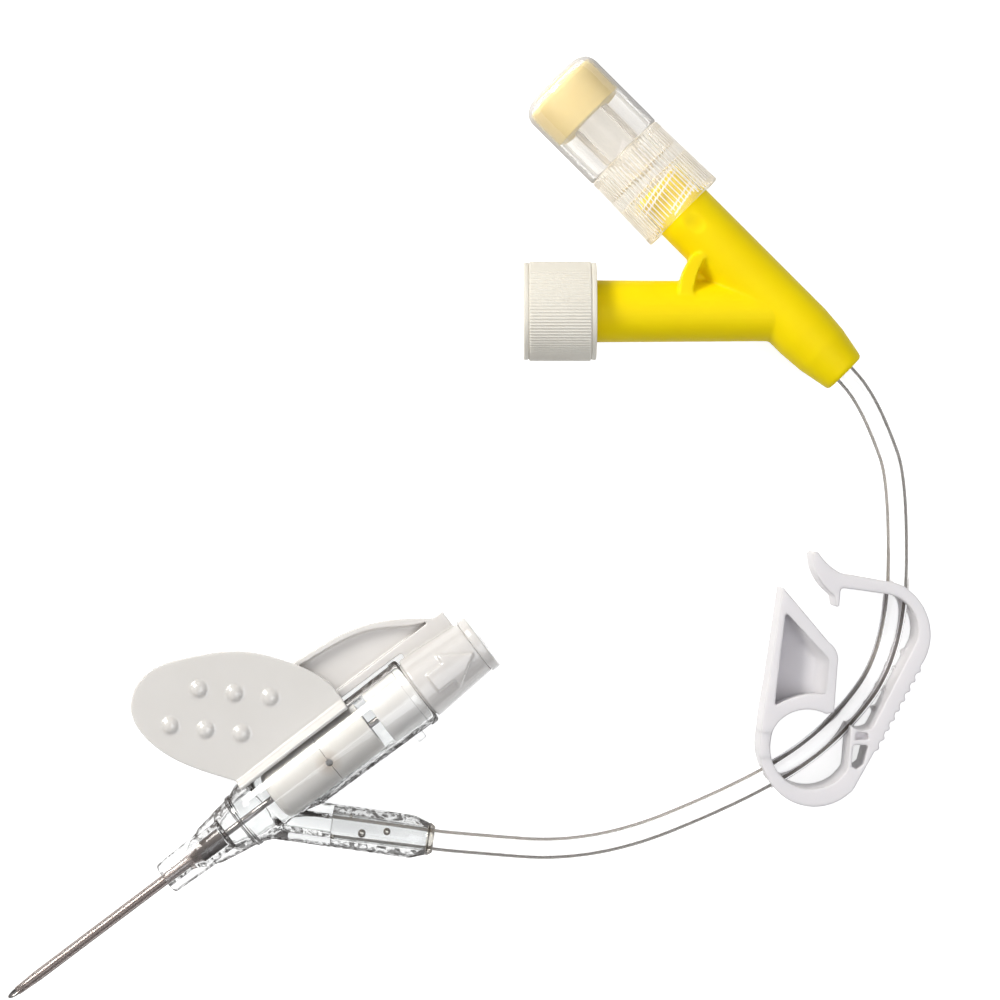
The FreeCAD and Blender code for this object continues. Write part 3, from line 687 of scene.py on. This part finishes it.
# White acetal: waxy white, with a faint painted brownish shade where the clip would show through it.
white_acetal = moulded_plastic("white_acetal", "#D2CECA", "#C9C5C0", 0.30, 0.6, 0.2, 5.0, 0.1)
tree = white_acetal.node_tree
plain = tree.nodes["Principled BSDF"].inputs["Base Color"].links[0].from_socket
# A brownish shade painted on around the sight hole, fading out over 1.5 mm, where the clip would show through the
# wall.
place = add_node(tree, "ShaderNodeTexCoord")
reach = add_node(
    tree,
    "ShaderNodeVectorMath",
    {"operation": "DISTANCE", 1: tuple(Vector(PAINTED_CLIP_SHADE_AT) * MM)},
    {0: place.outputs["Object"]},
)
painted_clip_shade = add_node(
    tree,
    "ShaderNodeMapRange",
    {"From Min": 0.3 * MM, "From Max": 1.5 * MM, "To Min": 0.6, "To Max": 0.0},
    {"Value": reach.outputs["Value"]},
)
shade = add_node(
    tree,
    "ShaderNodeMix",
    {"data_type": "RGBA", 7: linear("#A08C78")},
    {0: painted_clip_shade.outputs[0], 6: plain},
)
tree.links.new(shade.outputs[2], tree.nodes["Principled BSDF"].inputs["Base Color"])


def with_sight_hole(name, mesh):
    """A housing's mesh with its share of the hole drilled through the joint of the two."""
    drill = [(0, 0), (0, SIGHT_HOLE_R), (2.5, SIGHT_HOLE_R), (2.5, 0)]
    return combined(name, mesh, [(lathe("sight_hole", drill, SIGHT_HOLE, sides=32), "DIFFERENCE")])


housing = lathe("septum_carrier", soften([
    (13.8, 1.0),
    (13.8, 2.0),
    (14.0, 2.45),
    (14.6, HOUSING_R),
    (20.7, HOUSING_R),
    (20.7, 2.07),
    (15.0, 2.07),
    (15.0, 1.0),
], 0.06), sides=96)
housing = add_object("septum_carrier", with_sight_hole("septum_carrier", housing), "set", white_acetal)
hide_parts("septum_housing")
shield = lathe("tip_shield", soften([
    (19.8, 0.41),
    (19.8, 1.95),
    (20.73, 1.95),
    (20.73, HOUSING_R),
    (26.1, HOUSING_R),
    (26.1, 1.60),
    (20.3, 1.60),
    (20.3, 0.41),
], 0.06), sides=96)
shield = add_object("tip_shield", with_sight_hole("tip_shield", shield), "set", white_acetal)
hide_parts("tip_shield_housing")

# Polyisoprene: tan, matt rubber.
tan_rubber = moulded_plastic("tan_polyisoprene", "#A88F75", "#9A8168", 0.7, 0.2, 0.15, 2.0, 0.4)
paint(("septum",), tan_rubber)


# NEEDLE HUB AND GRIP PADDLE
# One frosted polypropylene moulding: a spigot in the barrel, a tapered hub with a raised
# arrow, and a rail along the barrel that carries the grip paddle. A plug closes the rear.
# Frosted polypropylene: milky, with a clear gloss on its skin.
frosted_polypropylene = moulded_plastic(
    "frosted_polypropylene", "#DCD9D6", "#D2CECB", 0.30, 1.0, 0.2, 5.0, 0.06, skin_gloss=1.0
)
hub = cast("needle_hub_moulding", "needle_hub", 0.12, 2)
hub = add_object("needle_hub_moulding", hub, "needle_unit", frosted_polypropylene, 60)
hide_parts("needle_hub")
PLUG_HOLE_R = 0.92
PLUG_SPIGOT_R = 1.88
PLUG_HEAD_R = 3.12
plug = lathe("hub_plug", soften([
    (37.0, PLUG_HOLE_R),
    (37.0, PLUG_SPIGOT_R),
    (39.4, PLUG_SPIGOT_R),
    (39.4, PLUG_HEAD_R),
    (40.4, PLUG_HEAD_R),
    (40.4, PLUG_HOLE_R),
], 0.22))
plug = add_object("hub_plug", plug, "needle_unit", frosted_polypropylene)
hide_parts("hub_end_cap")

# Sintered polyethylene: white and porous, with grains about a tenth of a millimetre wide.
sintered, tree, output = new_material("sintered_polyethylene")
place = add_node(tree, "ShaderNodeTexCoord")
pores = add_node(tree, "ShaderNodeTexVoronoi", {"Scale": 1 / (0.12 * MM)}, {"Vector": place.outputs["Object"]})
shade = add_node(
    tree,
    "ShaderNodeMix",
    {"data_type": "RGBA", 6: linear("#F4F3F0"), 7: linear("#D4D2CD")},
    {0: pores.outputs["Distance"]},
)
skin = add_node(
    tree,
    "ShaderNodeBump",
    {"Strength": 0.6, "Distance": 0.03 * MM},
    {"Height": pores.outputs["Distance"]},
)
plastic = add_node(
    tree,
    "ShaderNodeBsdfPrincipled",
    {"Roughness": 0.85},
    {"Base Color": shade.outputs[2], "Normal": skin.outputs[0]},
)
tree.links.new(plastic.outputs[0], output.inputs["Surface"])
paint(("hub_filter", "vent_cap_membrane"), sintered)


# Y CONNECTOR
# Yellow ABS, moulded in one: a nose for the tubing, a long arm and a side arm with luer
# ports, and a curved strap and thin web between the two arms.
# Yellow ABS: strong plain yellow, with a soft, almost matt skin.
yellow_abs = moulded_plastic("yellow_abs", "#F6DF00", "#EDD000", 0.5, 0.5, 0.2, 7.0, 0.12, shine=0.12)
connector = cast("y_connector_moulding", "y_connector", 0.16, 4)
connector = add_object("y_connector_moulding", connector, "set", yellow_abs, 60)
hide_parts("y_connector")


# INJECTION CAP
# Three pieces: a clear acrylic luer with a ribbed lock collar, a clear shell bonded on it,
# and a cream rubber stopper held between them.
JOINT = Matrix.Translation((85.02, 8.38, 1.25)) @ Matrix.Rotation(VIEW_TURN, 4, "Z")
LONG_ARM = JOINT @ Matrix.Rotation(math.radians(135), 4, "Z")
SIDE_PORT = JOINT @ Matrix.Rotation(math.radians(180), 4, "Z")
THREAD_LEAD = 5.0
THREAD_STEPS = 72
THREAD_FADE = 8
COLLAR_RIBS = 64
CREST_HALF = 0.05


def lock_thread(name, first, last, root, crest, width, start, place):
    """One start of the ridge inside a lock collar, which fades out at both ends."""
    shell = bmesh.new()
    steps = int((last - first) / THREAD_LEAD * THREAD_STEPS)
    before = None
    for i in range(steps + 1):
        x = first + (last - first) * i / steps
        angle = start + 2 * math.pi * (x - first) / THREAD_LEAD
        top = root - (root - crest) * min(1.0, i / THREAD_FADE, (steps - i) / THREAD_FADE)
        ring = []
        for dx, r in ((-width / 2, root), (-width / 6, top), (width / 6, top), (width / 2, root)):
            ring.append(shell.verts.new((x + dx, r * math.cos(angle), r * math.sin(angle))))
        if before:
            for k in range(4):
                n = (k + 1) % 4
                shell.faces.new((before[k], before[n], ring[n], ring[k]))
        else:
            shell.faces.new(ring)
        before = ring
    shell.faces.new(before[::-1])
    return made(shell, name, Matrix.Scale(MM, 4) @ place)


# Acrylic: clear with a warm cast from the rubber and the yellow behind it, glossy. The
# collar's edges are painted creamy white, standing in for the light its ribs and thread
# spread, and the shell's edges get a painted pale grey shade.
clear_acrylic = clear_plastic("clear_acrylic", "#FEFCF8", "#FFF8EC", 1.49, 0.03, 0.1, 2.5, haze=0.05)
shell_acrylic = clear_plastic("shell_acrylic", "#FEFDFB", "#DAD7D4", 1.49, 0.02, 0.1, 3.0, rim=0.5, haze=0.12)
collar = lathe("lock_collar", soften([
    (14.25, 4.75),
    (14.7, 4.74),
    (22.2, 4.54),
    (22.8, 4.52),
    (22.8, 3.95),
    (20.0, 3.95),
    (20.0, 2.3),
    (27.78, 2.3),
    (27.78, 1.6),
    (20.2, 1.6),
    (19.6, 0.9),
    (13.3, 0.9),
    (13.3, 1.966),
    (18.7, 2.128),
    (18.7, 4.0),
    (14.25, 4.0),
], 0.2), LONG_ARM, sides=8 * COLLAR_RIBS, ribs=(COLLAR_RIBS, 0.12, 4.4, 14.65, 22.3))
collar = add_object("lock_collar", collar, "injection_cap", clear_acrylic)
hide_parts("injection_cap_luer")

# The thread's crest gets an opaque white material, a painted highlight that shows as fine
# white lines where the crest catches the light.
painted_glint_white = moulded_plastic("painted_glint_white", "#FFFFFF", "#F6F1EA", 0.25, 0.4, 0.2, 2.0, 0.1)
for i in range(4):
    name = "collar_thread_%d" % (i + 1)
    first = 14.6 + 0.56 * (i % 2)
    ridge = lock_thread(name, first, first + 3.2, 3.995, 3.86, 0.20, math.pi * (i // 2 + 0.4), LONG_ARM)
    ridge = add_object(name, ridge, "injection_cap", painted_glint_white)

# Thin white strips on the ribs' crests are painted highlights, which show as fine white lines.
crests = bmesh.new()
CREST_SECTION = [(-CREST_HALF, -0.06), (CREST_HALF, -0.06), (CREST_HALF, 0.0), (-CREST_HALF, 0.0)]
for i in range(COLLAR_RIBS):
    turn = LONG_ARM @ Matrix.Rotation(2 * math.pi * i / COLLAR_RIBS, 4, "X")
    corners = []
    for x, r in ((14.9, 4.738), (22.0, 4.548)):
        for across, up in CREST_SECTION:
            corners.append(crests.verts.new(turn @ Vector((x, across, r + up))))
    for k in range(4):
        n = (k + 1) % 4
        crests.faces.new((corners[k], corners[n], corners[4 + n], corners[4 + k]))
    crests.faces.new(corners[3::-1])
    crests.faces.new(corners[4:])
crests = made(crests, "painted_crest_glints", Matrix.Scale(MM, 4))
crests = add_object("painted_crest_glints", crests, "injection_cap", painted_glint_white)

shell = lathe("cap_shell", soften([
    (22.82, 3.95),
    (22.82, 4.52),
    (23.82, 4.55),
    (31.7, 4.55),
    (32.5, 4.2),
    (33.0, 3.3),
    (33.0, 2.6),
    (32.4, 2.6),
    (32.4, 3.35),
    (31.8, 3.95),
], 0.5), LONG_ARM, sides=128)
shell = add_object("cap_shell", shell, "injection_cap", shell_acrylic)
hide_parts("injection_cap_housing")

# Cream polyisoprene: matt and slightly clouded. It is squeezed against the shell's wall, so
# it looks as wide as the shell.
cream_rubber = moulded_plastic("cream_polyisoprene", "#E6D49F", "#E0CC90", 0.6, 0.6, 0.2, 3.0, 0.3, shine=0.2)
STOPPER_R = 3.99
stopper = lathe("rubber_stopper", soften([
    (27.8, 0),
    (27.8, STOPPER_R),
    (31.75, STOPPER_R),
    (32.38, 3.33),
    (32.38, 2.58),
    (32.85, 2.58),
    (32.85, 0),
], 0.2), LONG_ARM)
stopper = add_object("rubber_stopper", stopper, "injection_cap_core", cream_rubber)
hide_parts("injection_cap_stopper")


# VENT CAP
# Off-white polyethylene luer cap with fine knurling between two plain rims, and a porous
# membrane in its end.
KNURLS = 96
# White polyethylene: warm off-white and waxy.
white_polyethylene = moulded_plastic("white_polyethylene", "#E4E0D6", "#DCD7CC", 0.45, 0.5, 0.2, 5.0, 0.2)
vent_cap = lathe("vent_cap", soften([
    (19.0, 4.95),
    (19.42, 4.95),
    (19.50, 4.82),
    (19.58, 5.05),
    (25.77, 5.05),
    (25.85, 4.82),
    (25.93, 4.95),
    (26.35, 4.95),
    (26.35, 1.72),
    (25.75, 1.72),
    (25.75, 1.1),
    (20.4, 1.1),
    (20.4, 1.966),
    (25.4, 2.116),
    (25.4, 4.0),
    (19.0, 4.0),
], 0.1), SIDE_PORT, sides=5 * KNURLS, ribs=(KNURLS, 0.09, 4.9, 19.52, 25.83))
vent_cap = add_object("vent_cap_knurled", vent_cap, "vent_cap", white_polyethylene)
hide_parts("vent_cap_shell")


# PINCH CLAMP
# One pale polypropylene moulding that the tubing runs through. A wedge arm swings in on a
# thin bend of the loop and latches under the catch of the ridged arm.
# Pale polypropylene: cool grey-white, soft gloss, light creeping through its thin walls.
pale_polypropylene = moulded_plastic("pale_polypropylene", "#DEDBDD", "#D6D3D6", 0.36, 2.0, 0.2, 6.0, 0.12)
clamp = add_object("clamp_loop", cast("clamp_loop", "clamp_body", 0.15, 3), "set", pale_polypropylene, 60)
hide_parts("clamp_body")
arm = cast("clamp_wedge", "clamp_wedge_arm", 0.13, 3)
arm = add_object("clamp_wedge", arm, "clamp_arm", pale_polypropylene, 60)
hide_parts("clamp_wedge_arm")

# The floor of the wedge arm's pocket, which slopes up to its right wall, as rows of
# (y, left, right, the right wall's x).
CLAMP_AT = Matrix.Translation((60.22, -28.26, 0)) @ Matrix.Rotation(VIEW_TURN, 4, "Z")
POCKET_ROWS = [
    (4.15, -3.30, -3.10, 1.95),
    (5.00, -3.20, -1.45, 1.95),
    (5.36, -3.16, 0.10, 1.95),
    (5.37, -3.16, 1.95, 1.95),
    (6.50, -3.03, 2.05, 2.05),
    (8.30, -2.82, 2.20, 2.20),
    (8.90, -2.75, 2.15, 2.15),
    (9.45, -2.68, 1.73, 1.73),
    (10.70, -2.54, 0.62, 0.62),
    (12.00, -2.39, -0.55, -0.55),
    (13.60, -2.20, -2.00, -2.00),
]
POCKET_LOW_Z = 0.2
POCKET_SLOPE = 0.42
POCKET_RISE = 1.2
POCKET_RISE_WIDTH = 1.2
POCKET_THICKNESS = 1.3
POCKET_STEPS = 40
floor = bmesh.new()
sheets = []
for drop in (0.0, POCKET_THICKNESS):
    rows = []
    for y, left, right, wall in POCKET_ROWS:
        row = []
        for k in range(POCKET_STEPS + 1):
            x = left + (right - left) * k / POCKET_STEPS
            t = min(1.0, max(0.0, 1 - (wall - x) / POCKET_RISE_WIDTH))
            z = POCKET_LOW_Z + POCKET_SLOPE * (x - POCKET_ROWS[0][1]) + POCKET_RISE * t * t * (3 - 2 * t)
            row.append(floor.verts.new(CLAMP_AT @ Vector((x, y, z - drop))))
        rows.append(row)
    sheets.append(rows)
upper, lower = sheets
for i in range(len(POCKET_ROWS) - 1):
    for k in range(POCKET_STEPS):
        floor.faces.new((upper[i][k], upper[i][k + 1], upper[i + 1][k + 1], upper[i + 1][k]))
        floor.faces.new((lower[i][k], lower[i + 1][k], lower[i + 1][k + 1], lower[i][k + 1]))
    for k in (0, POCKET_STEPS):
        floor.faces.new((upper[i][k], upper[i + 1][k], lower[i + 1][k], lower[i][k]))
for i in (0, len(POCKET_ROWS) - 1):
    for k in range(POCKET_STEPS):
        floor.faces.new((upper[i][k], upper[i][k + 1], lower[i][k + 1], lower[i][k]))
pocket = made(floor, "clamp_pocket_floor", Matrix.Scale(MM, 4))
pocket = add_object("clamp_pocket_floor", pocket, "clamp_arm", pale_polypropylene, 50)

# The thin bend between the loop and the wedge arm, as (y, outer x, inner x) across the band.
CLAMP_LOW = -3.8
CLAMP_TOP = 3.804
BEND_BAND = [
    (-1.10, -4.715, -3.59),
    (-0.80, -4.762, -3.645),
    (-0.20, -4.806, -3.712),
    (0.20, -4.806, -3.712),
    (0.60, -4.765, -3.665),
    (1.20, -4.708, -3.565),
    (1.50, -4.675, -3.48),
]
BEND_EDGE = 0.14
band = bmesh.new()
rings = []
for y, outer, inner in BEND_BAND:
    section = [
        (outer, CLAMP_LOW + BEND_EDGE),
        (outer, CLAMP_TOP - BEND_EDGE),
        (outer + 0.3 * BEND_EDGE, CLAMP_TOP - 0.3 * BEND_EDGE),
        (outer + BEND_EDGE, CLAMP_TOP),
        (inner - BEND_EDGE, CLAMP_TOP),
        (inner - 0.3 * BEND_EDGE, CLAMP_TOP - 0.3 * BEND_EDGE),
        (inner, CLAMP_TOP - BEND_EDGE),
        (inner, CLAMP_LOW + BEND_EDGE),
        (inner - BEND_EDGE, CLAMP_LOW),
        (outer + BEND_EDGE, CLAMP_LOW),
    ]
    rings.append([band.verts.new(CLAMP_AT @ Vector((x, y, z))) for x, z in section])
for a, b in zip(rings, rings[1:]):
    for k in range(len(a)):
        n = (k + 1) % len(a)
        band.faces.new((a[k], a[n], b[n], b[k]))
band.faces.new(rings[0][::-1])
band.faces.new(rings[-1])
bend = made(band, "clamp_bend", Matrix.Scale(MM, 4))
bend = add_object("clamp_bend", bend, None, pale_polypropylene, 60)
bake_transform(bend)
